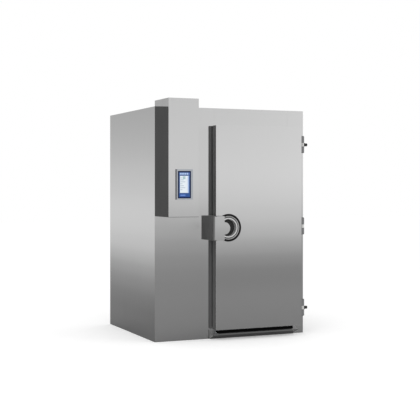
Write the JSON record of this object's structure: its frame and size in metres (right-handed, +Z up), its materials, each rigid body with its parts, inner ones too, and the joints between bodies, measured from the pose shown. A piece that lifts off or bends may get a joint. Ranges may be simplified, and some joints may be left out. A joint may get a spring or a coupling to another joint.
{
  "type": "blast chiller",
  "caption": "Tall roll-in blast chiller with a stainless insulated cabinet, a control column with touch display, a full-height hinged door and a round recessed pull handle.",
  "frame": {"origin": "on the floor under the middle of the cabinet's footprint, without the control column, door and handle in front of it", "axes": "+X to the cabinet's right as seen from the front, +Y to the back, +Z up"},
  "size_m": [1.6, 1.797, 2.288],
  "materials": {
    "brushed_stainless": "vertical fine brushed stainless sheet",
    "lining_stainless": "pressed stainless lining",
    "dark_profile": "dark grey matt edge profile",
    "dark_coated_steel": "dark grey coated steel",
    "grey_sheet": "light grey satin sheet",
    "bezel_grey": "light grey moulded frame",
    "screen_glass": "glossy touch screen cover",
    "black_rubber": "matt black rubber",
    "cast_metal": "grey cast hinge metal",
    "copper_pipe": "copper tube",
    "fin_aluminium": "thin aluminium fins",
    "circuit_board": "green board",
    "black_plastic": "black moulded plastic"
  },
  "bodies": {
    "cabinet": {"left_wall": "brushed_stainless", "right_wall": "brushed_stainless", "rear_wall": "brushed_stainless", "front_panel": "brushed_stainless", "hinge_post": "brushed_stainless", "header_panel": "brushed_stainless", "roof_panel": "brushed_stainless", "threshold_sill": "brushed_stainless", "column_housing": "brushed_stainless", "floor_panel": "lining_stainless", "drip_tray": "lining_stainless", "bumper_rail": "lining_stainless", "landing_post": "lining_stainless", "frame_left": "dark_profile", "frame_right": "dark_profile", "frame_head": "dark_profile", "kick_plate": "dark_coated_steel", "column_base": "dark_coated_steel", "column_cheek": "dark_coated_steel", "keeper_block": "dark_coated_steel", "column_hood": "grey_sheet", "power_box": "grey_sheet", "display_bezel": "bezel_grey", "display_glass": "screen_glass", "hinge_stop_top": "black_rubber", "hinge_stop_bottom": "black_rubber", "hinge_post_leaf_bottom": "cast_metal", "hinge_post_leaf_middle": "cast_metal", "hinge_post_leaf_top": "cast_metal", "fan_panel_rod": "cast_metal", "suction_pipe": "copper_pipe", "liquid_pipe": "copper_pipe", "evaporator_coil": "fin_aluminium", "controller_board": "circuit_board"},
    "door": {"door_skin": "brushed_stainless", "door_slab": "dark_profile", "door_liner": "lining_stainless", "door_gasket": "black_rubber", "door_sweep": "black_rubber", "hinge_door_leaf_bottom": "cast_metal", "hinge_door_leaf_middle": "cast_metal", "hinge_door_leaf_top": "cast_metal", "latch_housing": "dark_coated_steel", "lever_pin": "cast_metal", "handle_cup": "black_plastic", "handle_escutcheon": "brushed_stainless", "handle_rim": "black_rubber"},
    "lever": {"handle_lever": "brushed_stainless"},
    "bolt": {"latch_bolt": "cast_metal"},
    "release": {"release_knob": "grey_sheet"},
    "fan_panel": {"fan_panel": "lining_stainless", "fan_guard_1": "lining_stainless", "fan_guard_2": "lining_stainless", "fan_guard_3": "lining_stainless", "fan_motor_1": "black_plastic", "fan_motor_2": "black_plastic", "fan_motor_3": "black_plastic"},
    "fan_1": {"fan_impeller_1": "fin_aluminium"},
    "fan_2": {"fan_impeller_2": "fin_aluminium"},
    "fan_3": {"fan_impeller_3": "fin_aluminium"}
  },
  "joints": [
    {"name": "door_hinge", "type": "hinge", "parent": "cabinet", "child": "door", "pos_m": [0.725, -0.8, 1.0825], "axis": [0, 0, 1], "range_deg": [0, 115]},
    {"name": "lever_pull", "type": "hinge", "parent": "door", "child": "lever", "pos_m": [-0.3057, -0.9717, 1.081], "axis": [0, 0, -1], "range_deg": [0, 25], "stiffness_Nm_per_rad": 8, "springref_deg": -17.19},
    {"name": "bolt_draw", "type": "slide", "parent": "door", "child": "bolt", "axis": [1, 0, 0], "range_m": [0, 0.012]},
    {"name": "release_push", "type": "slide", "parent": "door", "child": "release", "axis": [0, -1, 0], "range_m": [0, 0.015], "stiffness_N_per_m": 400, "springref_m": -0.01},
    {"name": "fan_panel_hinge", "type": "hinge", "parent": "cabinet", "child": "fan_panel", "pos_m": [-0.3, 0.585, 1.115], "axis": [0, 0, -1], "range_deg": [-50, 0]},
    {"name": "fan_1_spin", "type": "hinge", "parent": "fan_panel", "child": "fan_1", "pos_m": [-0.3, 0.0015, 0.495], "axis": [1, 0, 0], "continuous": true},
    {"name": "fan_2_spin", "type": "hinge", "parent": "fan_panel", "child": "fan_2", "pos_m": [-0.3, 0.0015, 1.115], "axis": [1, 0, 0], "continuous": true},
    {"name": "fan_3_spin", "type": "hinge", "parent": "fan_panel", "child": "fan_3", "pos_m": [-0.3, 0.0015, 1.735], "axis": [1, 0, 0], "continuous": true}
  ],
  "couplings": [
    {"joint": "bolt_draw", "follows": "lever_pull", "m_per_rad": 0.0275}
  ]
}
